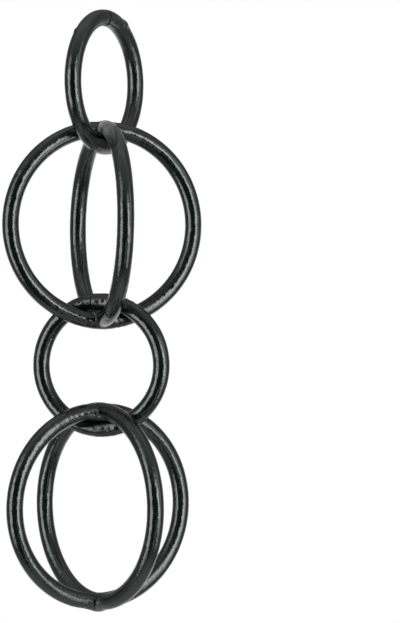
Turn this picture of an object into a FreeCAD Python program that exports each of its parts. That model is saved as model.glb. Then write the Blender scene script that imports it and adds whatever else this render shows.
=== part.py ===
import FreeCAD, Part
import math
import os

# One section of a rain chain: small single rings and large double rings hung through one another.
# Lengths are in millimetres and angles in degrees.
# The origin is the hang point, inside the top of the top ring, with +Z up.

# The round rod that every ring is bent from
ROD_DIAMETER = 6.35

# Outside diameters of the two sizes of ring
SMALL_RING_OUTSIDE = 54.6
DOUBLE_RING_OUTSIDE = 78.7

# Room left between a ring's rod and the crossing that it carries or hangs in
SEAT_GAP = 0.5

# How far each link is turned about the vertical, from +X towards +Y
TOP_RING_TURN = 61.0
UPPER_DOUBLE_TURN = 17.0
MIDDLE_RING_TURN = -19.0
LOWER_DOUBLE_TURN = 30.0

# Angle between the two hoops of each double ring
UPPER_CROSSING = 92.0
LOWER_CROSSING = 84.0

# Butt seam of a small ring: the room between the rod's two ends, and its angle from the ring's top
SEAM_WIDTH = 0.25
TOP_RING_SEAM = 9.0
MIDDLE_RING_SEAM = -8.0

# Weld beads stand proud of the rod outside a crossing and stay below its surface inside
DRESSED_WELD_HEIGHT = 0.4
RAISED_WELD_HEIGHT = 0.9
WELD_DEPTH_INSIDE = 0.25

# Worked out from the sizes above
ROD_RADIUS = ROD_DIAMETER / 2
SMALL_BEND = SMALL_RING_OUTSIDE / 2 - ROD_RADIUS
DOUBLE_BEND = DOUBLE_RING_OUTSIDE / 2 - ROD_RADIUS
LINK_PITCH = SMALL_BEND + DOUBLE_BEND - ROD_DIAMETER - SEAT_GAP

TOP_RING_LEVEL = ROD_RADIUS - SMALL_BEND
UPPER_DOUBLE_LEVEL = TOP_RING_LEVEL - LINK_PITCH
MIDDLE_RING_LEVEL = UPPER_DOUBLE_LEVEL - LINK_PITCH
LOWER_DOUBLE_LEVEL = MIDDLE_RING_LEVEL - LINK_PITCH

ORIGIN = FreeCAD.Vector(0, 0, 0)
UP = FreeCAD.Vector(0, 0, 1)
ACROSS = FreeCAD.Vector(0, 1, 0)


def bent_rod(bend_radius, sweep):
    """Rod bent in the XZ plane about the origin, starting at the top and running round towards +X."""
    start = FreeCAD.Vector(0, 0, bend_radius)
    section = Part.makeCircle(ROD_RADIUS, start, FreeCAD.Vector(1, 0, 0))
    return Part.Face(Part.Wire(section)).revolve(ORIGIN, ACROSS, sweep)


def hung(shape, turn, level):
    """The shape turned about the vertical and let down to its level in the chain."""
    placed = shape.copy()
    placed.rotate(ORIGIN, UP, turn)
    placed.translate(FreeCAD.Vector(0, 0, level))
    return placed


def small_ring(seam_angle):
    """Single ring: one rod bent round until its ends butt, with a hairline seam."""
    seam_sweep = math.degrees(SEAM_WIDTH / SMALL_BEND)
    ring = bent_rod(SMALL_BEND, 360 - seam_sweep)
    ring.rotate(ORIGIN, ACROSS, seam_angle + seam_sweep / 2)
    return ring


def sector(low_angle, high_angle):
    """Upright wedge of space with its edge on the Z axis, between two directions seen from above."""
    reach = 2 * DOUBLE_RING_OUTSIDE
    height = 2 * DOUBLE_RING_OUTSIDE
    corners = [FreeCAD.Vector(0, 0, -height / 2)]
    for angle in (low_angle, high_angle):
        along = math.radians(angle)
        corners.append(FreeCAD.Vector(reach * math.cos(along), reach * math.sin(along), -height / 2))
    face = Part.Face(Part.makePolygon(corners + corners[:1]))
    return face.extrude(FreeCAD.Vector(0, 0, height))


def weld_bead(side, proud_height):
    """Round bead at the top (side 1) or the bottom (side -1) crossing, before the rods are cut out of it."""
    radius = ROD_RADIUS + (proud_height - WELD_DEPTH_INSIDE) / 2
    offset = (proud_height + WELD_DEPTH_INSIDE) / 2
    return Part.makeSphere(radius, FreeCAD.Vector(0, 0, side * (DOUBLE_BEND + offset)))


def double_ring(crossing, top_weld_height, bottom_weld_height):
    """Two equal hoops that cross at the top and the bottom, as four mitred half hoops and two weld beads.

    The right and left halves lie along X, and the front and back halves are turned from them by the crossing.
    """
    wide = crossing / 2
    narrow = (180 - crossing) / 2
    directions = {
        "right_half_hoop": (0, wide, narrow),
        "back_half_hoop": (180 - crossing, narrow, wide),
        "left_half_hoop": (180, wide, narrow),
        "front_half_hoop": (-crossing, narrow, wide),
    }
    beads = {
        "top_weld": weld_bead(1, top_weld_height),
        "bottom_weld": weld_bead(-1, bottom_weld_height),
    }
    pieces = {}
    bead_quarters = {name: [] for name in beads}
    whole_hoop = bent_rod(DOUBLE_BEND, 360)
    for name, (turn, below, above) in directions.items():
        hoop = hung(whole_hoop, turn, 0)
        room = sector(turn - below, turn + above)
        pieces[name] = hoop.common(room)
        for bead_name, bead in beads.items():
            bead_quarters[bead_name].append(bead.common(room).cut(hoop))
    for bead_name, quarters in bead_quarters.items():
        pieces[bead_name] = quarters[0].multiFuse(quarters[1:]).removeSplitter()
    return pieces


def chain_section():
    """Every piece of the section in its place, by name."""
    pieces = {
        "top_ring": hung(small_ring(TOP_RING_SEAM), TOP_RING_TURN, TOP_RING_LEVEL),
        "middle_ring": hung(small_ring(MIDDLE_RING_SEAM), MIDDLE_RING_TURN, MIDDLE_RING_LEVEL),
    }
    upper = double_ring(UPPER_CROSSING, DRESSED_WELD_HEIGHT, DRESSED_WELD_HEIGHT)
    for name, shape in upper.items():
        pieces["upper_" + name] = hung(shape, UPPER_DOUBLE_TURN, UPPER_DOUBLE_LEVEL)
    lower = double_ring(LOWER_CROSSING, DRESSED_WELD_HEIGHT, RAISED_WELD_HEIGHT)
    for name, shape in lower.items():
        pieces["lower_" + name] = hung(shape, LOWER_DOUBLE_TURN, LOWER_DOUBLE_LEVEL)
    return pieces


os.makedirs("parts", exist_ok=True)
for node, shape in chain_section().items():
    shape.exportStep(os.path.join("parts", node + ".step"))
    print(node, "solids", len(shape.Solids), "volume", round(shape.Volume, 2), "valid", shape.isValid())
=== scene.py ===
"""Dresses one section of a rain chain: black coated rings of round rod, hung through one another.

Small single rings are one rod bent round until its ends butt. Large double rings are two hoops welded
where they cross, at the top and at the bottom. Each link is a surface of two parameters, along the rod
and around it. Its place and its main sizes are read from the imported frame, and lengths are in metres.
"""

import logging
import math
from dataclasses import dataclass, field
from enum import Enum
from typing import Any

import bpy
import numpy as np
from bpy.types import ID, Material, Node, NodeSocket, Object, World
from mathutils import Matrix, Vector

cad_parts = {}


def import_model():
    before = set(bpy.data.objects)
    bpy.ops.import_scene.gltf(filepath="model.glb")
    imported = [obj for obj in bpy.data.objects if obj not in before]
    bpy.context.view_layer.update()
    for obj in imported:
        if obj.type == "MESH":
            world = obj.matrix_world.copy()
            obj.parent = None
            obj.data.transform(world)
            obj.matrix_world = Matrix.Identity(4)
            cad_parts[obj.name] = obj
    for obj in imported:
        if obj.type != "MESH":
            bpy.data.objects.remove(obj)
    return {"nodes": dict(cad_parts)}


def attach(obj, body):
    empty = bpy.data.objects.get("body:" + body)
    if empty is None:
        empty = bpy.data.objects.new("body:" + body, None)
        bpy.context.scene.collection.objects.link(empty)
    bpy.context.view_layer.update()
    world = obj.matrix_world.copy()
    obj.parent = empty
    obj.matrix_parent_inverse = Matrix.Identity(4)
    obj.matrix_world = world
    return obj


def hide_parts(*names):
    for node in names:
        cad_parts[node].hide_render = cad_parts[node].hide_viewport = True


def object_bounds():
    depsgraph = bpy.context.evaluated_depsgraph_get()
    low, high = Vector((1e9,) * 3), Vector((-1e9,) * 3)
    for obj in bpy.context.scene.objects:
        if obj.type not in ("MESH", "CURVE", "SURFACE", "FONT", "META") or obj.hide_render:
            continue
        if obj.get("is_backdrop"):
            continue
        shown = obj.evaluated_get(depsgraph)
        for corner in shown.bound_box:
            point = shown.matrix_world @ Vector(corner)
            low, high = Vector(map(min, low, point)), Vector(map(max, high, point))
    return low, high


LOG = logging.getLogger("rain_chain")

MM = 0.001
TAU = 2 * math.pi

# Grid points nearer than this are one point of the mesh
JOIN_DISTANCE = 1e-7

# Distance from crest to crest of the lumps of weld
LUMP_LENGTH = 2 * MM

# Names of what the coating reads from a link's mesh
ROD_MAP = "rod_length"
WELD_MASK = "weld"
DULL_MASK = "dull"
SHELTER_MASK = "sheltered"
# Where a pale highlight is painted on the coat
PAINTED_HIGHLIGHT_MASK = "painted_highlight"

Array = np.ndarray
Colour = tuple[float, float, float, float]

# Features per metre of a noise, and how many finer layers it has
Noise = tuple[float, int]


class Pole(Enum):
    """The two crossings of a double ring, as the sign of their height above its centre."""

    TOP = 1
    BOTTOM = -1


class Arm(Enum):
    """The four half hoops of a double ring, by the word in their nodes' names."""

    RIGHT = "right"
    BACK = "back"
    LEFT = "left"
    FRONT = "front"


def smooth_step(value: Array, low: float, high: float) -> Array:
    """Cubic step that rises from 0 at low to 1 at high."""
    part = np.clip((value - low) / (high - low), 0, 1)
    return part * part * (3 - 2 * part)


def soft_min(first: Array, second: Array, reach: float | Array) -> Array:
    """Lesser of two numbers, rounded where they differ by less than reach."""
    # With h = max(reach - |a - b|, 0) / reach, it lies h * h * reach / 4 below the lesser number
    near = np.maximum(reach - np.abs(first - second), 0) / reach
    return np.minimum(first, second) - near * near * reach / 4


def soft_max(first: Array, second: Array, reach: float) -> Array:
    """Greater of two numbers, rounded where they differ by less than reach."""
    return -soft_min(-first, -second, reach)


def bell(value: Array, width: float | Array) -> Array:
    """Bell curve that is 1 at 0 and falls away over a width."""
    return np.exp(-((value / width) ** 2))


def node_points(node: Object) -> Array:
    """Reads the points of a CAD node's mesh.

    Args:
        node: The CAD node.

    Returns:
        Its points, one row each.
    """
    points = np.empty(len(node.data.vertices) * 3)
    node.data.vertices.foreach_get("co", points)
    return points.reshape(-1, 3)


def in_plane(points: Array, turn: float) -> tuple[Array, Array]:
    """Splits places into their distance along an upright plane and their distance from it.

    Args:
        points: Places about the vertical axis, one row each.
        turn: Angle of the plane about the vertical, from +X.

    Returns:
        Distance out from the axis in the plane, and distance to its side.
    """
    out = points[:, 0] * math.cos(turn) + points[:, 1] * math.sin(turn)
    side = points[:, 1] * math.cos(turn) - points[:, 0] * math.sin(turn)
    return out, side


def grid_cells(rows: int, columns: int) -> Array:
    """Numbers the corners of a grid's cells, in the order that faces outwards.

    Args:
        rows: Rows of the grid's points.
        columns: Columns of the grid's points.

    Returns:
        Four point numbers for each cell.
    """
    index = np.arange(rows * columns).reshape(rows, columns)
    cells = (index[:-1, :-1], index[1:, :-1], index[1:, 1:], index[:-1, 1:])
    return np.stack(cells, axis=-1).reshape(-1, 4)


def linked(data: ID) -> Object:
    """Makes an object of a mesh, lamp or camera, under its name, and links it to the scene.

    Args:
        data: The mesh, lamp or camera.

    Returns:
        The object.
    """
    thing = bpy.data.objects.new(data.name, data)
    bpy.context.scene.collection.objects.link(thing)
    return thing


class Waves:
    """Random waves of one length: a sum of cosines in seeded random directions, with unit spread."""

    COUNT = 24

    def __init__(self, wavelength: float, seed: int) -> None:
        """Draws the waves.

        Args:
            wavelength: Distance from crest to crest.
            seed: Start of the random draws.
        """
        draw = np.random.default_rng(seed)
        along = draw.normal(size=(self.COUNT, 3))
        self.along = along / np.linalg.norm(along, axis=1, keepdims=True) * TAU / wavelength
        self.phase = draw.uniform(0, TAU, self.COUNT)

    def height(self, points: Array) -> Array:
        """Height of the waves at each point."""
        return np.cos(points @ self.along.T + self.phase).sum(axis=1) * math.sqrt(2 / self.COUNT)


@dataclass(frozen=True)
class Loop:
    """Where a ring of rod hangs, and its sizes, as its CAD nodes have them.

    Attributes:
        level: Height of the ring's centre.
        bend: Radius of the rod's centreline.
        rod: Radius of the rod.
    """

    level: float
    bend: float
    rod: float

    @staticmethod
    def waist(points: Array) -> Array:
        """Points of a ring in the middle third of its height, away from its crossings."""
        low, high = points[:, 2].min(), points[:, 2].max()
        return points[np.abs(points[:, 2] - (low + high) / 2) < (high - low) / 6]

    @classmethod
    def measured(cls, points: Array, turn: float) -> "Loop":
        """Measures a ring whose plane is upright.

        Args:
            points: Points of the ring's CAD node.
            turn: Angle of its plane about the vertical, from +X.

        Returns:
            The ring's level and sizes.
        """
        low, high = points[:, 2].min(), points[:, 2].max()
        rod = np.abs(in_plane(cls.waist(points), turn)[1]).max()
        return cls(level=(low + high) / 2, bend=(high - low) / 2 - rod, rod=rod)


class LinkMesh:
    """Closed surface of one link, put together from grids that share their edges' points."""

    def __init__(self, grids: list[Array], maps: list[Array]) -> None:
        """Joins the grids where their points coincide.

        Args:
            grids: Points of each grid, rows along the rod and columns around it, outside in view.
            maps: Distance along and around the rod for each grid's points.
        """
        places = np.concatenate([grid.reshape(-1, 3) for grid in grids])
        keys = np.round(places / JOIN_DISTANCE).astype(np.int64)
        _, first, joined = np.unique(keys, axis=0, return_index=True, return_inverse=True)
        self.points = places[first]
        self.joined = joined.ravel()
        self.map = np.concatenate([part.reshape(-1, 2) for part in maps])
        self.lids: list[Array] = []
        starts = np.cumsum([0] + [grid.shape[0] * grid.shape[1] for grid in grids])
        self.corners = np.concatenate(
            [grid_cells(*grid.shape[:2]) + start for grid, start in zip(grids, starts)]
        )

    def close_ends(self, columns: int) -> None:
        """Closes the first and last rows of a lone grid of so many columns with a flat lid each."""
        ends = self.joined.reshape(-1, columns)[:, :-1]
        self.lids = [ends[0], ends[-1][::-1]]

    def piece(self, name: str, masks: dict[str, Array]) -> Object:
        """Makes the surface a smooth mesh object at the origin.

        Args:
            name: Name of the object.
            masks: Numbers for each point, which the coating reads by name.

        Returns:
            The linked object.
        """
        faces = self.joined[self.corners].tolist() + [lid.tolist() for lid in self.lids]
        mesh = bpy.data.meshes.new(name)
        mesh.from_pydata(self.points.tolist(), [], faces)
        mesh.polygons.foreach_set("use_smooth", np.ones(len(mesh.polygons), bool))
        lid_corners = sum(len(lid) for lid in self.lids)
        unrolled = np.concatenate([self.map[self.corners.ravel()], np.zeros((lid_corners, 2))])
        rod_map = mesh.uv_layers.new(name=ROD_MAP)
        rod_map.uv.foreach_set("vector", unrolled.astype(np.float32).ravel())
        for mask, numbers in masks.items():
            layer = mesh.attributes.new(mask, "FLOAT", "POINT")
            layer.data.foreach_set("value", numbers.astype(np.float32))
        mesh.update()
        return linked(mesh)


@dataclass(frozen=True)
class Stretch:
    """Stretch of a small ring between two angles from its top, in degrees, with a slope at each end."""

    start: float
    end: float
    edge: float = 2.0

    def cover(self, angle: Array) -> Array:
        """How far each angle is inside the stretch, from 0 to 1."""
        rise = smooth_step(angle, self.start, self.start + self.edge)
        return rise * (1 - smooth_step(angle, self.end - self.edge, self.end))


@dataclass(frozen=True)
class Blob:
    """Drop of weld or coat on a small ring's rod, or a dent if its height is negative.

    Its angle is taken from the ring's top, and its place around the rod from the ring's outside.
    """

    angle: float
    around: float
    radius: float
    height: float

    def lift(self, from_top: Array, section: Array, loop: Loop) -> Array:
        """Height of the blob over each place on the rod, a bell curve of the distance to its middle.

        Args:
            from_top: Angles from the ring's top, in degrees.
            section: Angles around the rod's section, in radians.
            loop: The ring's sizes.

        Returns:
            The height at each place.
        """
        around = (section - math.radians(self.around) + math.pi) % TAU - math.pi
        along = np.radians(from_top - self.angle) * loop.bend
        return self.height * bell(np.hypot(along, around * loop.rod), self.radius)


@dataclass
class SmallRing:
    """Single ring: a rod bent round until its two ends butt in a seam near the top.

    Attributes:
        node: CAD node, which is also the body that it rides on.
        seam_angle: Angle of the seam from the ring's top towards its +X side, in degrees.
        lumpy: Stretches with lumps of weld under the coat.
        dull: Stretch that was touched up, so that its coat is dull.
        dull_slant: How much further that stretch reaches on the inside of the ring.
        blobs: Single drops and dents.
        rise: How far the ring's top is bent out of round.
        rise_spread: Degrees from the top over which the rise fades.
        settle: How far it hangs below its CAD node, where the chain's weight closes its seats.
        lump: Height of the lumps.
        lump_seed: Start of the lumps' random draws.
        seam_width: Room between the two ends.
        wedge: How much wider the seam is on the inside of the ring.
        wedge_length: Distance from the seam over which the wedge fades.
        end_round: Rounding of the ends' edges.
        end_step: How far the two ends miss each other sideways.
        stations: Rows of the grid along the rod.
        around: Columns of the grid around the rod.
    """

    node: str
    seam_angle: float
    lumpy: tuple[Stretch, ...]
    dull: Stretch | None = None
    dull_slant: float = 0.35
    blobs: tuple[Blob, ...] = ()
    rise: float = 0.0
    rise_spread: float = 50.0
    settle: float = 0.0
    lump: float = 0.035 * MM
    lump_seed: int = 5
    seam_width: float = 0.25 * MM
    wedge: float = 0.9 * MM
    wedge_length: float = 3 * MM
    end_round: float = 0.3 * MM
    end_step: float = 0.2 * MM
    stations: int = 440
    around: int = 72

    # Innermost and outermost row on an end's flat face, in radii of the face, and how many there are
    FACE_ROWS = (0.2, 0.95, 5)
    EDGE_ROWS = 8

    def rod_outline(self, length: float, rod: float) -> tuple[Array, Array]:
        """Outline of the rod from end to end: a flat face, a rounded edge, the length, and back.

        Args:
            length: Length of the bent rod.
            rod: Radius of the rod.

        Returns:
            Distance along the rod and distance from its centreline, as columns.
        """
        face = np.linspace(*self.FACE_ROWS) * (rod - self.end_round)
        turn = np.linspace(0, math.pi / 2, self.EDGE_ROWS)
        edge_along = self.end_round * (1 - np.cos(turn))
        edge_out = rod - self.end_round + self.end_round * np.sin(turn)
        run = np.linspace(self.end_round, length - self.end_round, self.stations)[1:-1]
        end = face * 0
        along = np.concatenate([end, edge_along, run, length - edge_along[::-1], end + length])
        out = np.concatenate([face, edge_out, run * 0 + rod, edge_out[::-1], face[::-1]])
        return along[:, None], out[:, None]

    def build(self, node: Object) -> Object:
        """Builds the ring in place of its CAD node.

        The outline is carried round a circle. A point at angle t from the top, with height h and side s
        on the rod's section, lies at ((bend + h) sin t, s, (bend + h) cos t) before the ring is turned.
        The rise adds to h in a bell curve about the top. The wedge draws a point back from the seam by
        the cube of its share of the way in. The ends step aside with the ninth power of the distance
        from the rod's middle.

        Args:
            node: The ring's CAD node.

        Returns:
            The ring's mesh object.
        """
        points = node_points(node)
        spread = np.cov(points[:, :2].T)
        turn = math.atan2(2 * spread[0, 1], spread[0, 0] - spread[1, 1]) / 2
        loop = Loop.measured(points, turn)
        length = TAU * loop.bend - self.seam_width
        along, out = self.rod_outline(length, loop.rod)
        unrolled = np.linspace(0, TAU, self.around + 1)
        section = np.append(unrolled[:-1], 0)

        height, side = out * np.cos(section), out * np.sin(section)
        inwards = (1 - height / loop.rod) / 2
        bent = along - self.wedge * inwards**3 * np.exp((along - length) / self.wedge_length)
        angle = math.radians(self.seam_angle) + (self.seam_width / 2 + bent) / loop.bend
        from_top = np.degrees((angle + math.pi) % TAU - math.pi)
        height = height + self.rise * bell(from_top, self.rise_spread)
        side = side + self.end_step * (2 * along / length - 1) ** 9 / 2
        turned = np.array(Matrix.Rotation(turn, 3, "Z")).T
        hung = np.array([0, 0, loop.level - self.settle])

        def placed(lift: Array) -> Array:
            """Grid of the ring's points in place, each lifted off the rod's section."""
            reach, flat = loop.bend + height + lift * np.cos(section), side + lift * np.sin(section)
            return np.stack([reach * np.sin(angle), flat, reach * np.cos(angle)], axis=-1) @ turned + hung

        weld = sum(stretch.cover(from_top) for stretch in self.lumpy) * (1 - inwards) * out / loop.rod
        waves = Waves(LUMP_LENGTH, self.lump_seed)
        lumps = waves.height(placed(0 * angle).reshape(-1, 3)).reshape(angle.shape)
        drops = sum(blob.lift(from_top, section, loop) for blob in self.blobs) * out / loop.rod
        grid = placed(self.lump * weld * lumps + drops)
        link = LinkMesh([grid], [np.stack(np.broadcast_arrays(along, loop.rod * unrolled), axis=-1)])
        link.close_ends(self.around + 1)
        dull = 0 * angle
        if self.dull:
            dull = self.dull.cover(from_top / (1 + self.dull_slant * inwards))
        masks = {WELD_MASK: weld, DULL_MASK: dull, SHELTER_MASK: 0 * dull, PAINTED_HIGHLIGHT_MASK: 0 * dull}
        first = np.unique(link.joined, return_index=True)[1]
        joined = {name: mask.ravel()[first] for name, mask in masks.items()}
        return link.piece("bent_" + self.node, joined)


@dataclass(frozen=True)
class Pit:
    """Small hole left in a weld, in the valley after an arm, going round from +X towards +Y.

    Its place around the rod is in degrees from the ring's outside. It runs deep towards the axis.
    """

    pole: Pole
    valley: Arm
    around: float
    radius: float
    deep: float = 0.0


@dataclass(frozen=True)
class Crossing:
    """One of a double ring's crossings, where the front and back hoop runs through.

    Attributes:
        seat: The arm before the valley that a small ring lies in, if one lies there.
        snug_ring: Node of that small ring, where the weld reaches close around its rod.
        lift: How far the through hoop stands out.
        shave: How much thinner the through hoop is on the outside.
        neck: How much thinner the butted arms are on the outside.
        sag: How far the butted arms are bent outwards.
        dull: Distance over which the coat is dull.
        painted_highlight: Strength of a pale highlight painted on the through hoop's outside, from 0 to
            1.
        painted_highlight_length: Distance over which the painted highlight fades.
    """

    seat: Arm | None = None
    snug_ring: str = ""
    lift: float = 0.0
    shave: float = 0.0
    neck: float = 0.4 * MM
    sag: float = 0.0
    dull: float = 5 * MM
    painted_highlight: float = 0.0
    painted_highlight_length: float = 5 * MM


@dataclass
class DoubleRing:
    """Two welded hoops: the right and left arms butt against the through hoop, from front to back.

    Attributes:
        prefix: Start of its nodes' names, and of its body's.
        fillet: Reach of the weld's fillet between two arms.
        crossings: Its two crossings.
        bow: How far the through hoop is bent sideways at its waist.
        settle: How far it hangs below its CAD nodes, where the chain's weight closes its seats.
        pits: Holes in the welds.
        neck_length: Distance from a crossing over which lifts and necks fade.
        sag_length: Distance from a crossing over which a sag fades.
        web: How much further the fillet reaches inside a crossing, beside a small ring.
        snug: Room between the weld and a small ring that it reaches around.
        dressed: Height up to which a weld's bead was dressed flush.
        bead_size: Radius of a raised bead, in radii of the rod.
        bead_worn: How much of a raised bead's height is worn off.
        bead_blend: Reach of the blend from a raised bead to the rods.
        lump: Height of the lumps of weld on the butted arms.
        lump_length: Distance from a crossing over which lumps fade.
        lump_seed: Start of the lumps' random draws.
        shelter_length: Distance over which the inside of a crossing is out of the spray.
        stations: Rows of an arm's grid, from crossing to crossing.
        around: Columns of an arm's grid, around the rod.
    """

    prefix: str
    fillet: float
    crossings: dict[Pole, Crossing]
    bow: float
    settle: float
    pits: tuple[Pit, ...] = ()
    neck_length: float = 7 * MM
    sag_length: float = 15 * MM
    web: float = 4.0 * MM
    snug: float = 0.15 * MM
    dressed: float = 0.45 * MM
    bead_size: float = 1.7
    bead_worn: float = 0.3 * MM
    bead_blend: float = 2.0 * MM
    lump: float = 0.045 * MM
    lump_length: float = 11 * MM
    lump_seed: int = 11
    shelter_length: float = 6 * MM
    stations: int = 300
    around: int = 72

    # Measured: arms' directions, level and sizes, beads' heights, and a snug ring's height
    direction: dict[Arm, float] = field(init=False, default_factory=dict)
    loop: Loop = field(init=False)
    proud: dict[Pole, float] = field(init=False, default_factory=dict)
    seat_level: dict[Pole, float] = field(init=False, default_factory=dict)

    # In radii of the rod: where its outside and a web start and are whole, and a web's width over a ring
    OUTER_HALF = (-0.6, 0.6)
    OUTER_FACE = (-0.6, 0.0)
    WEB_INSIDE = (0.3, 0.8)
    WEB_BESIDE = (0.25, 0.9)
    WEB_OVER = 0.6

    # Heights where a web starts and is whole, in radii of the hoop
    WEB_LEVELS = (0.3, 0.6)

    # Reaches of blends, and distances from a pit where the coat's marks start and are whole
    GROOVE_BLEND = 0.1 * MM
    BEAD_SIDE_BLEND = 1 * MM
    PIT_BLEND = 0.25 * MM
    ARM_EDGE = 1 * MM
    PIT_EDGE = (0.05 * MM, 0.35 * MM)

    # Dullness in the middle of a crossing, and the share of it on the inside
    DULL_PEAK = 1.5
    DULL_INSIDE = 0.8

    # How much closer the rows of an arm's grid are towards the crossings
    ROW_CROWDING = 0.6

    # Rounds of aiming along an arm and of settling on the surface, its least squared slope and its step
    AIM_ROUNDS = 3
    ROUNDS = 6
    LEAST_STEEP = 0.2
    SLOPE_STEP = 0.5e-6

    @property
    def body(self) -> str:
        """Name of the body that the ring rides on."""
        return self.prefix + "_double_ring"

    def arm_node(self, arm: Arm) -> str:
        """Name of an arm's CAD node."""
        return f"{self.prefix}_{arm.value}_half_hoop"

    def weld_node(self, pole: Pole) -> str:
        """Name of a weld's CAD node."""
        return f"{self.prefix}_{pole.name.lower()}_weld"

    def measure(self, nodes: dict[str, Object]) -> None:
        """Reads the arms' directions, the ring's sizes and the beads' heights from the CAD nodes.

        Args:
            nodes: CAD nodes by name.
        """
        for arm in Arm:
            waist = Loop.waist(node_points(nodes[self.arm_node(arm)]))
            turn = math.atan2(waist[:, 1].mean(), waist[:, 0].mean())
            for _ in range(self.AIM_ROUNDS):
                out, side = in_plane(waist, turn)
                turn += (side.max() + side.min()) / 2 / out.mean()
            self.direction[arm] = turn
        right = node_points(nodes[self.arm_node(Arm.RIGHT)])
        self.loop = Loop.measured(right, self.direction[Arm.RIGHT])
        ring_top = self.loop.bend + self.loop.rod
        for pole, crossing in self.crossings.items():
            heights = node_points(nodes[self.weld_node(pole)])[:, 2] - self.loop.level
            self.proud[pole] = (heights * pole.value).max() - ring_top
            if crossing.snug_ring:
                heights = node_points(nodes[crossing.snug_ring])[:, 2] - self.loop.level + self.settle
                near_edge = (heights * pole.value).min() + self.loop.rod
                self.seat_level[pole] = near_edge * pole.value

    def half_gaps(self, arm: Arm) -> tuple[float, float]:
        """Halves the angles between an arm and its neighbours.

        Args:
            arm: Which arm.

        Returns:
            Half the angle to the arm before it and to the one after it, going round.
        """
        order = list(Arm)
        place = order.index(arm)
        before, after = order[place - 1], order[(place + 1) % len(order)]
        here = self.direction[arm]
        return ((here - self.direction[before]) % TAU / 2, (self.direction[after] - here) % TAU / 2)

    def valley(self, arm: Arm) -> float:
        """Direction of the valley that comes after an arm."""
        return self.direction[arm] + self.half_gaps(arm)[1]

    def rod_step(self, value: Array, ends: tuple[float, float]) -> Array:
        """Cubic step between two distances that are given in radii of the rod."""
        return smooth_step(value, ends[0] * self.loop.rod, ends[1] * self.loop.rod)

    def at_crossing(self, points: Array, size: str) -> Array:
        """A size of the crossing that each place is nearer to."""
        top, bottom = (getattr(self.crossings[pole], size) for pole in Pole)
        return np.where(points[:, 2] > 0, top, bottom)

    def arm_grid(self, arm: Arm) -> tuple[Array, Array]:
        """Surface of one arm, mitred against its neighbours at both crossings.

        A point at angle t from the top and v around the rod lies (bend + rod cos v) from the ring's
        centre and rod sin v to the side. It meets the upright mitre plane, half way to the next arm, at
        sin t = rod |sin v| / (tan(half gap) (bend + rod cos v)), so each line runs from there to its
        mirror image, closer together towards the crossings.

        Args:
            arm: Which arm.

        Returns:
            The grid's points about the ring's centre, and its distances along and around the rod.
        """
        bend, rod = self.loop.bend, self.loop.rod
        unrolled = np.linspace(0, TAU, self.around + 1)
        section = np.append(unrolled[:-1], 0)
        before, after = self.half_gaps(arm)
        half_gap = np.where(np.sin(section) >= 0, after, before)
        reach = bend + rod * np.cos(section)
        start = np.arcsin(rod * np.abs(np.sin(section)) / (np.tan(half_gap) * reach))
        even = np.linspace(0, 1, self.stations)[:, None]
        closer = even - self.ROW_CROWDING * np.sin(TAU * even) / TAU
        angle = start + (math.pi - 2 * start) * closer
        out, side = reach * np.sin(angle), rod * np.sin(section) + 0 * angle
        turn = self.direction[arm]
        across = out * math.cos(turn) - side * math.sin(turn)
        deep = out * math.sin(turn) + side * math.cos(turn)
        grid = np.stack([across, deep, reach * np.cos(angle)], axis=-1)
        return grid, np.stack([bend * angle, rod * unrolled + 0 * angle], axis=-1)

    def pit_room(self, points: Array, pit: Pit) -> Array:
        """Signed distance from a pit, whose mouth is where two arms would meet without their fillet.

        It is a ball, drawn out along a line that runs level from there towards the crossing's middle.

        Args:
            points: Places about the ring's centre.
            pit: Which pit.

        Returns:
            The distance at each place, negative in the pit.
        """
        turn = self.valley(pit.valley)
        around = math.radians(pit.around)
        out = self.loop.rod * math.sin(around) / math.sin(self.half_gaps(pit.valley)[1])
        height = pit.pole.value * (self.loop.bend + self.loop.rod * math.cos(around))
        outwards = np.array([math.cos(turn), math.sin(turn), 0])
        from_mouth = points - out * outwards - np.array([0, 0, height])
        inwards = np.clip(-(from_mouth @ outwards), 0, pit.deep)
        return np.linalg.norm(from_mouth + inwards[:, None] * outwards, axis=1) - pit.radius

    def hoops(self, points: Array) -> tuple[Array, Array]:
        """Signed distance from the butted arms and from the hoop that runs through.

        Each is a torus. The butted one is necked and sags towards the crossings, and the other one bows
        sideways with the square of the height, and is lifted and shaved at the crossings.

        Args:
            points: Places about the ring's centre.

        Returns:
            The two distances at each place.
        """
        bend, rod = self.loop.bend, self.loop.rod
        out, side = in_plane(points, self.direction[Arm.RIGHT])
        height = np.hypot(out, points[:, 2]) - bend
        outside = self.rod_step(height, self.OUTER_HALF)
        thin = self.at_crossing(points, "neck") * bell(out, self.neck_length) * outside
        sunk = self.at_crossing(points, "sag") * bell(out, self.sag_length)
        butted = np.hypot(height - sunk, side) - rod + thin
        out, side = in_plane(points, self.direction[Arm.FRONT])
        raised = bend + self.at_crossing(points, "lift") * bell(out, self.neck_length)
        bowed = self.bow * np.maximum(1 - (points[:, 2] / bend) ** 2, 0)
        height = np.hypot(out, points[:, 2]) - raised
        outside = self.rod_step(height, self.OUTER_HALF)
        thin = self.at_crossing(points, "shave") * bell(out, self.neck_length) * outside
        through = np.hypot(height, side - bowed) - rod + thin
        return butted, through

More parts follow.
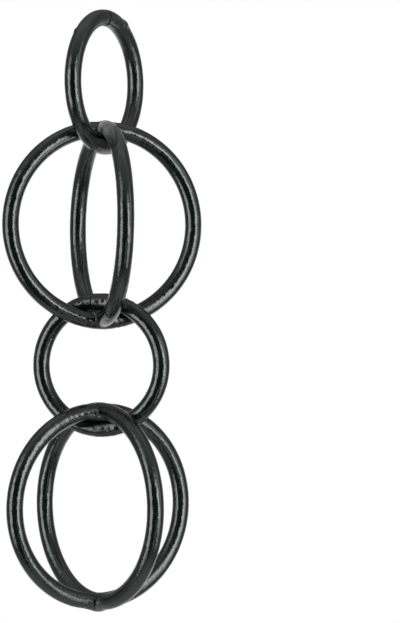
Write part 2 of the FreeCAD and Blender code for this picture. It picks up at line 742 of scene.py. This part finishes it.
    def fillet_reach(self, points: Array) -> Array:
        """Reach of the fillet at each place.

        It grows on the inside of a crossing with the distance to either side of the small ring there, so
        that the weld fills the two valleys beside that ring. A snug one grows over the ring too.

        Args:
            points: Places about the ring's centre.

        Returns:
            The reach at each place.
        """
        bend = self.loop.bend
        start, whole = self.WEB_LEVELS
        inside = self.rod_step(bend - np.abs(points[:, 2]), self.WEB_INSIDE)
        reach = self.fillet + 0 * inside
        for pole, crossing in self.crossings.items():
            if crossing.seat:
                along, side = in_plane(points, self.valley(crossing.seat))
                cover = self.rod_step(np.abs(side), self.WEB_BESIDE)
                if crossing.snug_ring:
                    cover = np.maximum(cover, bell(along, self.WEB_OVER * self.loop.rod))
                near = smooth_step(points[:, 2] * pole.value, start * bend, whole * bend)
                reach = reach + self.web * inside * cover * near
        return reach

    def depth(self, points: Array) -> Array:
        """Signed distance from the welded surface, negative inside the metal.

        The two hoops blend in a fillet. A round groove keeps room for a small ring in a snug weld. A
        raised bead is the outer part of a ball that blends into the hoops, and each pit is taken away.

        Args:
            points: Places about the ring's centre.

        Returns:
            The distance at each place.
        """
        bend, rod = self.loop.bend, self.loop.rod
        metal = soft_min(*self.hoops(points), self.fillet_reach(points))
        for pole, level in self.seat_level.items():
            side = in_plane(points, self.valley(self.crossings[pole].seat))[1]
            groove = rod + self.snug - np.hypot(side, points[:, 2] - level)
            metal = soft_max(metal, groove, self.GROOVE_BLEND)
        for pole in Pole:
            if self.proud[pole] > self.dressed:
                size = self.bead_size * rod
                middle = bend + rod + self.proud[pole] - self.bead_worn - size
                centre = np.array([0, 0, pole.value * middle])
                bead = np.linalg.norm(points - centre, axis=1) - size
                bead = soft_max(bead, bend - points[:, 2] * pole.value, self.BEAD_SIDE_BLEND)
                metal = soft_min(metal, bead, self.bead_blend)
        for pit in self.pits:
            metal = soft_max(metal, -self.pit_room(points, pit), self.PIT_BLEND)
        return metal

    def slope(self, points: Array) -> Array:
        """Slope of the distance at each place, from steps along the three axes.

        Args:
            points: Places about the ring's centre.

        Returns:
            The slope along each axis, one row for each place.
        """
        step = self.SLOPE_STEP
        here = self.depth(points)
        slopes = [(self.depth(points + step * axis) - here) / step for axis in np.eye(3)]
        return np.stack(slopes, axis=-1)

    def coat_masks(self, points: Array) -> dict[str, Array]:
        """Marks where the coat is lumpy, dull or sheltered, and where a pale highlight is painted.

        Each mark is a bell curve of the distance from the vertical axis. Pits keep only the lumps.

        Args:
            points: Places on the welded surface, about the ring's centre.

        Returns:
            The masks by name.
        """
        butted, through = self.hoops(points)
        from_pole = np.linalg.norm(points * (1, 1, 0), axis=1)
        outside = self.rod_step(np.linalg.norm(points, axis=1) - self.loop.bend, self.OUTER_FACE)
        on_butted = smooth_step(through - butted, 0, self.ARM_EDGE)
        on_through = smooth_step(butted - through, 0, self.ARM_EDGE)
        weld = on_butted * bell(from_pole, self.lump_length) * outside
        dull = self.DULL_PEAK * bell(from_pole, self.at_crossing(points, "dull"))
        dull = dull * np.maximum(outside, self.DULL_INSIDE)
        sheltered = bell(from_pole, self.shelter_length) * (1 - outside)
        # Painted highlight: a pale patch on the through hoop's outside at a crossing, fading with the
        # distance
        painted_highlight = self.at_crossing(points, "painted_highlight") * outside * on_through
        painted_highlight = painted_highlight * bell(from_pole, self.at_crossing(points, "painted_highlight_length"))
        for pit in self.pits:
            clear = smooth_step(self.pit_room(points, pit), *self.PIT_EDGE)
            dull, sheltered, painted_highlight = dull * clear, sheltered * clear, painted_highlight * clear
        return {WELD_MASK: weld, DULL_MASK: dull, SHELTER_MASK: sheltered, PAINTED_HIGHLIGHT_MASK: painted_highlight}

    def build(self, nodes: dict[str, Object]) -> Object:
        """Builds the ring in place of its CAD nodes.

        The arms' grids are joined, then each point is moved along the slope of the welded surface's
        distance until it lies on it, and the welds get lumps.

        Args:
            nodes: CAD nodes by name.

        Returns:
            The ring's mesh object.
        """
        self.measure(nodes)
        grids, maps = zip(*[self.arm_grid(arm) for arm in Arm])
        link = LinkMesh(list(grids), list(maps))
        for _ in range(self.ROUNDS):
            slope = self.slope(link.points)
            steep = np.maximum((slope * slope).sum(axis=1), self.LEAST_STEEP)
            link.points -= (self.depth(link.points) / steep)[:, None] * slope
        masks = self.coat_masks(link.points)
        slope = self.slope(link.points)
        facing = slope / np.linalg.norm(slope, axis=1, keepdims=True)
        lumps = Waves(LUMP_LENGTH, self.lump_seed).height(link.points) * self.lump
        link.points += facing * (masks[WELD_MASK] * lumps)[:, None]
        link.points += np.array([0, 0, self.loop.level - self.settle])
        return link.piece("welded_" + self.body, masks)

    def replaced(self) -> list[str]:
        """Names of the CAD nodes that the ring stands for."""
        return [self.arm_node(arm) for arm in Arm] + [self.weld_node(pole) for pole in Pole]


class Value:
    """Number that varies over a surface: a node's output, whose arithmetic adds Math nodes."""

    SMOOTH = {"interpolation_type": "SMOOTHSTEP"}

    def __init__(self, graph: "Graph", socket: NodeSocket) -> None:
        """Wraps an output socket of a graph."""
        self.graph = graph
        self.socket = socket

    def _math(self, operation: str, first: "Number", second: "Number") -> "Value":
        """Result of a Math node on two numbers."""
        return self.graph.output("ShaderNodeMath", {"operation": operation}, {0: first, 1: second}, 0)

    def __add__(self, other: "Number") -> "Value":
        """Sum."""
        return self._math("ADD", self, other)

    __radd__ = __add__

    def __sub__(self, other: "Number") -> "Value":
        """Difference."""
        return self._math("SUBTRACT", self, other)

    def __rsub__(self, other: "Number") -> "Value":
        """Difference from a plain number."""
        return self._math("SUBTRACT", other, self)

    def __mul__(self, other: "Number") -> "Value":
        """Product."""
        return self._math("MULTIPLY", self, other)

    __rmul__ = __mul__

    def step(self, low: float, high: float) -> "Value":
        """Cubic step from 0 at low to 1 at high."""
        sockets = {"Value": self, "From Min": low, "From Max": high}
        return self.graph.output("ShaderNodeMapRange", self.SMOOTH, sockets, "Result")


Number = Value | float


class Graph:
    """Node tree of a material or a world, emptied and ready for nodes."""

    def __init__(self, owner: Material | World) -> None:
        """Gives a material or a world an empty tree.

        Args:
            owner: The material or world.
        """
        owner.use_nodes = True
        self.tree = owner.node_tree
        self.tree.nodes.clear()

    def node(self, kind: str, settings: dict[str, Any], sockets: dict[Any, Any]) -> Node:
        """Adds a node.

        Args:
            kind: The node's type.
            settings: Its settings by name, which are set first.
            sockets: Values, sockets or plain values for its inputs, by name or place.

        Returns:
            The node.
        """
        node = self.tree.nodes.new(kind)
        for name, setting in settings.items():
            setattr(node, name, setting)
        for name, given in sockets.items():
            if isinstance(given, Value):
                given = given.socket
            if isinstance(given, NodeSocket):
                self.tree.links.new(given, node.inputs[name])
            else:
                node.inputs[name].default_value = given
        return node

    def output(
        self, kind: str, settings: dict[str, Any], sockets: dict[Any, Any], name: str | int
    ) -> Value:
        """Adds a node and wraps one of its outputs, by name or place."""
        return Value(self, self.node(kind, settings, sockets).outputs[name])

    def mixed(self, factor: Value, first: Any, second: Any) -> NodeSocket:
        """Mixes two colours, or sockets that carry one, and returns the mixed colour's socket."""
        sockets = {"Factor": factor, 6: first, 7: second}
        return self.node("ShaderNodeMix", {"data_type": "RGBA"}, sockets).outputs[2]


@dataclass(frozen=True)
class BlackCoating:
    """Glossy black powder coat on bent rod, with orange peel, dull welds and a painted pale highlight.

    Attributes:
        black: Colour of the coat.
        dust: Colour of the dull film on it.
        pale: Colour of the highlight painted on the crossings.
        sheen: Tint of its reflections.
        roughness: Roughness where the coat is clean.
        peel: Unit of the bumps' height.
        drawn_out: Features per metre of the streaks, along the rod and around it.
        orange_peel, grain, ripple, streaks: Noises of the coat's bumps.
        patches, film: Noises of less gloss and of dust.
    """

    black: Colour = (0.0036, 0.0046, 0.0041, 1)
    dust: Colour = (0.016, 0.0185, 0.017, 1)
    pale: Colour = (0.7, 0.775, 0.72, 1)
    sheen: Colour = (0.885, 1.0, 0.945, 1)
    roughness: float = 0.15
    peel: float = 15e-6
    drawn_out: tuple[float, float, float] = (250, 900, 1)
    orange_peel: Noise = (750, 2)
    grain: Noise = (2400, 1)
    ripple: Noise = (260, 1)
    streaks: Noise = (1, 2)
    patches: Noise = (110, 3)
    film: Noise = (420, 4)

    def material(self) -> Material:
        """Makes the coating's material.

        The bumps add up all the noises but the patches, higher on welds and dull stretches. Dust and dull
        welds lighten the black, a pale highlight painted on the crossings' through hoops lightens it
        more, and the coat is rougher where it is dull.

        Returns:
            The material.
        """
        coating = bpy.data.materials.new("black_powder_coat")
        graph = Graph(coating)
        place = graph.node("ShaderNodeTexCoord", {}, {}).outputs["Object"]
        weld, dull, sheltered, painted_highlight = (
            graph.output("ShaderNodeAttribute", {"attribute_name": mask}, {}, "Fac")
            for mask in (WELD_MASK, DULL_MASK, SHELTER_MASK, PAINTED_HIGHLIGHT_MASK)
        )
        unrolled = graph.node("ShaderNodeUVMap", {"uv_map": ROD_MAP}, {}).outputs["UV"]
        along = graph.node("ShaderNodeMapping", {}, {"Vector": unrolled, "Scale": self.drawn_out})

        def spread(noise: Noise, vector: NodeSocket = place) -> Value:
            """Spreads a noise on a coordinate, or else on the object's own."""
            sockets = {"Vector": vector, "Scale": noise[0], "Detail": noise[1]}
            return graph.output("ShaderNodeTexNoise", {}, sockets, "Fac")

        orange_peel = spread(self.orange_peel)
        grain = spread(self.grain)
        ripple = spread(self.ripple)
        streaks = spread(self.streaks, along.outputs["Vector"])
        patches = spread(self.patches)
        film = spread(self.film)

        height = 6.0 * orange_peel + 0.4 * grain + 12.0 * ripple + 0.5 * streaks
        height = height + 4.0 * (weld * film) + 2.0 * (dull * orange_peel)
        bumps = {"Strength": 1.0, "Distance": self.peel, "Height": height}
        bump = graph.node("ShaderNodeBump", {}, bumps)
        worn = dull * orange_peel.step(0.3, 0.7)
        dusty = 0.2 * patches.step(0.5, 0.75) + 0.2 * film.step(0.55, 0.75) + 0.25 * worn
        # Painted highlight: pale colour on the crossings' through hoops, standing in for light reflected
        # from above
        highlight_share = painted_highlight * (0.6 + 0.5 * film)
        colour = graph.mixed(highlight_share, graph.mixed(dusty, self.black, self.dust), self.pale)
        roughness = self.roughness + 0.08 * patches.step(0.4, 0.8)
        roughness = roughness + 0.12 * dull + 0.03 * weld + 0.4 * sheltered
        paint = {
            "Base Color": colour,
            "Roughness": roughness,
            "IOR": 1.55,
            "Specular IOR Level": 0.8,
            "Specular Tint": self.sheen,
            "Normal": bump.outputs["Normal"],
        }
        shader = graph.node("ShaderNodeBsdfPrincipled", {}, paint)
        graph.node("ShaderNodeOutputMaterial", {}, {"Surface": shader.outputs["BSDF"]})
        return coating


@dataclass(frozen=True)
class SoftBox:
    """Soft rectangular lamp that faces the chain's middle, at a distance from it.

    Azimuths in degrees run from the camera's side to the right, and elevations up. A face of radiance 1
    is as bright as the background, and a lamp at the right leans its top towards the camera's side.
    """

    name: str
    azimuth: float
    elevation: float
    distance: float
    width: float
    height: float
    radiance: float
    lean: float = 0.0

    def light(self, target: Vector) -> None:
        """Puts up the lamp.

        Args:
            target: Point that the lamp faces.
        """
        lamp = bpy.data.lights.new(self.name, "AREA")
        lamp.shape = "RECTANGLE"
        lamp.size, lamp.size_y = self.width, self.height
        lamp.energy = self.radiance * math.pi * self.width * self.height
        turn, up = math.radians(self.azimuth), math.radians(self.elevation)
        away = Vector((math.sin(turn) * math.cos(up), -math.cos(turn) * math.cos(up), math.sin(up)))
        thing = linked(lamp)
        thing.location = target + away * self.distance
        upright = (-away).to_track_quat("-Z", "Y").to_matrix()
        thing.rotation_euler = (upright @ Matrix.Rotation(math.radians(self.lean), 3, "Z")).to_euler()
        thing.visible_camera = False


@dataclass(frozen=True)
class Studio:
    """White studio: a pale floor under the chain, soft lamps, and a white background.

    Attributes:
        floor_drop: Height of the chain's lowest point above the floor.
        floor_radius: Radius of the floor.
        floor_fade: Where the floor starts to fade and where it is clear, in shares of its radius.
        floor_colour: Colour of the floor.
        fill: Brightness of the surroundings for light that the surfaces scatter.
        front: Brightness in reflections of the dark room on the camera's side.
        sides: Brightness that reflections gain towards the sides and the back.
        ceiling: Brightness that reflections gain towards the ceiling.
        lamps: The soft lamps.
    """

    floor_drop: float = 0.26
    floor_radius: float = 0.42
    floor_fade: tuple[float, float] = (0.3, 0.98)
    floor_colour: Colour = (0.87, 0.87, 0.865, 1)
    fill: float = 0.25
    front: float = 0.01
    sides: float = 0.21
    ceiling: float = 0.33
    lamps: tuple[SoftBox, ...] = (
        SoftBox("left_box", -55.5, -6, 0.9, 0.5, 0.8, 1.8),
        SoftBox("left_wash", -55.5, 0, 0.9, 0.54, 1.45, 1.6),
        SoftBox("right_strip", 42, 3, 0.9, 0.32, 0.6, 3.9, 22),
        SoftBox("right_wash", 45, -4, 0.9, 0.36, 1.5, 1.4, 22),
        SoftBox("right_fill", 67, 4, 1.0, 0.5, 1.1, 1.0),
        SoftBox("low_right_card", 63, -22, 0.95, 0.44, 0.6, 0.7),
        SoftBox("low_front_card", 22, -30, 0.95, 0.26, 0.5, 0.6),
        SoftBox("overhead_box", 180, 80, 0.75, 0.8, 0.6, 0.2),
    )

    # Rings and spokes of the floor's points, and the innermost ring's radius, too small to show
    RINGS = 24
    SPOKES = 96
    EYE = 1e-5

    def floor(self, level: float) -> Object:
        """Lays the floor as a disc of rings and spokes.

        Args:
            level: Height of the floor.

        Returns:
            The floor's object.
        """
        spokes = np.linspace(0, TAU, self.SPOKES + 1)
        rings = np.linspace(self.EYE, self.floor_radius, self.RINGS)[:, None]
        flat = level + 0 * rings * spokes
        grid = np.stack([rings * np.cos(spokes), rings * np.sin(spokes), flat], axis=-1)
        mesh = bpy.data.meshes.new("studio_floor")
        mesh.from_pydata(grid.reshape(-1, 3).tolist(), [], grid_cells(*grid.shape[:2]).tolist())
        mesh.materials.append(self.floor_material())
        return linked(mesh)

    def floor_material(self) -> Material:
        """Makes the floor's pale material, clear towards the edge.

        Returns:
            The material.
        """
        pale = bpy.data.materials.new("pale_floor")
        graph = Graph(pale)
        place = graph.node("ShaderNodeTexCoord", {}, {}).outputs["Object"]
        flat = graph.node("ShaderNodeVectorMath", {"operation": "MULTIPLY"}, {0: place, 1: (1, 1, 0)})
        flat_place = {0: flat.outputs["Vector"]}
        radius = graph.output("ShaderNodeVectorMath", {"operation": "LENGTH"}, flat_place, "Value")
        start, clear = self.floor_fade
        cover = 1 - radius.step(start * self.floor_radius, clear * self.floor_radius)
        paint = {"Base Color": self.floor_colour, "Roughness": 0.7, "Alpha": cover}
        shader = graph.node("ShaderNodeBsdfPrincipled", {}, paint)
        graph.node("ShaderNodeOutputMaterial", {}, {"Surface": shader.outputs["BSDF"]})
        return pale

    def background(self) -> World:
        """Makes the world: white to the camera, and a white paper sweep behind the chain in reflections.

        The paper's edges are steps of the direction's parts: across, behind the chain and up.

        Returns:
            The world.
        """
        world = bpy.data.worlds.new("white_studio")
        world.cycles.sampling_method = "NONE"
        graph = Graph(world)
        rays = graph.node("ShaderNodeLightPath", {}, {})
        seen, glossy, through = (
            Value(graph, rays.outputs[f"Is {ray} Ray"]) for ray in ("Camera", "Glossy", "Transmission")
        )
        mirrored = glossy + through
        towards = graph.node("ShaderNodeTexCoord", {}, {}).outputs["Generated"]
        axes = graph.node("ShaderNodeSeparateXYZ", {}, {"Vector": towards})
        across, behind, up = (Value(graph, axes.outputs[axis]) for axis in "XYZ")
        paper = (across * across).step(0.6, 0.3) * behind.step(0.2, 0.55)
        paper = paper * up.step(0.4, 0) * up.step(-0.85, -0.6)
        overhead = up.step(0.2, 0.8) * behind.step(0.35, -0.2)
        room = self.front + self.sides * behind.step(-0.85, 0.1) + self.ceiling * overhead
        reflected = room + paper * (1 - self.front - self.sides)
        strength = seen + mirrored * reflected + (1 - seen - mirrored) * self.fill
        shader = graph.node("ShaderNodeBackground", {}, {"Color": (1, 1, 1, 1), "Strength": strength})
        graph.node("ShaderNodeOutputWorld", {}, {"Surface": shader.outputs["Background"]})
        return world

    def build(self, low: Vector, high: Vector) -> None:
        """Sets up the floor, the lamps and the world around the chain.

        Args:
            low: Lowest corner of the chain's box.
            high: Highest corner of the chain's box.
        """
        scene = bpy.context.scene
        scene.view_settings.view_transform = "Standard"
        scene.world = self.background()
        self.floor(low.z - self.floor_drop)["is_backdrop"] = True
        middle = Vector((0, 0, (low.z + high.z) / 2))
        for lamp in self.lamps:
            lamp.light(middle)


@dataclass(frozen=True)
class PhotoCamera:
    """Camera of the photograph, fitted to the chain's outline there.

    Attributes:
        picture: Width and height in pixels.
        focal_pixels: Focal length in pixels.
        side: Place to the right of the chain's axis.
        distance: Distance from the chain's axis.
        height: Height above the hang point.
        axis_column: Pixel column straight ahead before the camera turns to the picture's middle.
        roll: Degrees of lean to the left.
        clip: Nearest and farthest distance in view.
    """

    picture: tuple[int, int] = (400, 623)
    focal_pixels: float = 2898.0
    side: float = 9.07 * MM
    distance: float = 1100.9 * MM
    height: float = -107.25 * MM
    axis_column: float = 125.6
    roll: float = 0.76
    clip: tuple[float, float] = (0.01, 50.0)

    def build(self) -> None:
        """Sets up the camera and makes it the scene's."""
        data = bpy.data.cameras.new("photo_camera")
        data.lens = data.sensor_width * self.focal_pixels / max(self.picture)
        data.clip_start, data.clip_end = self.clip
        thing = linked(data)
        yaw = math.atan((self.picture[0] / 2 - self.axis_column) / self.focal_pixels)
        thing.matrix_world = (
            Matrix.Translation((self.side, -self.distance, self.height))
            @ Matrix.Rotation(-yaw, 4, "Z")
            @ Matrix.Rotation(math.pi / 2, 4, "X")
            @ Matrix.Rotation(math.radians(self.roll), 4, "Z")
        )
        bpy.context.scene.camera = thing


def dress(piece: Object, coating: Material, body: str, nodes: list[str]) -> None:
    """Coats a link, hangs it on its body and lets it stand for its CAD nodes.

    Args:
        piece: The link's mesh object.
        coating: The link's material.
        body: Body that the link rides on.
        nodes: CAD nodes that the link replaces.
    """
    piece.data.materials.append(coating)
    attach(piece, body)
    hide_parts(*nodes)
    LOG.info("%s rides on %s, %d faces", piece.name, body, len(piece.data.polygons))


def main() -> None:
    """Builds the chain's links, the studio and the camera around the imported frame."""
    logging.basicConfig(level=logging.INFO, format="%(name)s: %(message)s")
    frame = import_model()
    cad_low, cad_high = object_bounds()
    PhotoCamera().build()
    Studio().build(cad_low, cad_high)

    coating = BlackCoating().material()
    small_rings = (
        SmallRing(
            "top_ring",
            seam_angle=-2.5,
            lumpy=(Stretch(-2, 40, 6),),
            dull=Stretch(-50, 42, 14),
            blobs=(
                Blob(angle=-46.5, around=42, radius=0.8 * MM, height=0.35 * MM),
                Blob(angle=8, around=-70, radius=0.5 * MM, height=0.25 * MM),
                Blob(angle=21, around=-102, radius=0.5 * MM, height=0.35 * MM),
                Blob(angle=27, around=-42, radius=1.6 * MM, height=0.5 * MM),
                Blob(angle=30, around=-75, radius=0.8 * MM, height=-0.2 * MM),
            ),
            rise=0.5 * MM,
            seam_width=0.06 * MM,
            wedge=1.6 * MM,
            end_round=0.14 * MM,
        ),
        SmallRing(
            "middle_ring",
            seam_angle=-8,
            lumpy=(Stretch(-46, 34, 8), Stretch(160, 180), Stretch(-180, -160)),
            settle=0.25 * MM,
            seam_width=0.1 * MM,
            wedge=0.1 * MM,
        ),
    )
    for ring in small_rings:
        dress(ring.build(frame["nodes"][ring.node]), coating, ring.node, [ring.node])

    double_rings = (
        DoubleRing(
            "upper",
            fillet=0.6 * MM,
            # Pale highlights are painted on the through hoop at these crossings
            crossings={
                Pole.TOP: Crossing(
                    seat=Arm.RIGHT, snug_ring="top_ring", lift=0.12 * MM,
                    painted_highlight=1.0, painted_highlight_length=12.5 * MM,
                ),
                Pole.BOTTOM: Crossing(
                    seat=Arm.FRONT, shave=0.4 * MM, neck=0.0, sag=0.5 * MM, painted_highlight=0.08
                ),
            },
            bow=-0.7 * MM,
            settle=0.25 * MM,
        ),
        DoubleRing(
            "lower",
            # Pale highlights are painted on the through hoop at these crossings
            fillet=0.5 * MM,
            crossings={
                Pole.TOP: Crossing(seat=Arm.FRONT, dull=3 * MM),
                Pole.BOTTOM: Crossing(dull=20 * MM, painted_highlight=0.18),
            },
            bow=-0.2 * MM,
            settle=0.25 * MM,
            pits=(
                Pit(Pole.BOTTOM, Arm.LEFT, around=148, radius=0.75 * MM, deep=1.6 * MM),
                Pit(Pole.BOTTOM, Arm.LEFT, around=130, radius=0.4 * MM),
                Pit(Pole.BOTTOM, Arm.LEFT, around=108, radius=0.4 * MM),
                Pit(Pole.BOTTOM, Arm.LEFT, around=82, radius=0.75 * MM, deep=0.8 * MM),
            ),
        ),
    )
    for ring in double_rings:
        dress(ring.build(frame["nodes"]), coating, ring.body, ring.replaced())


if __name__ == "__main__":
    main()
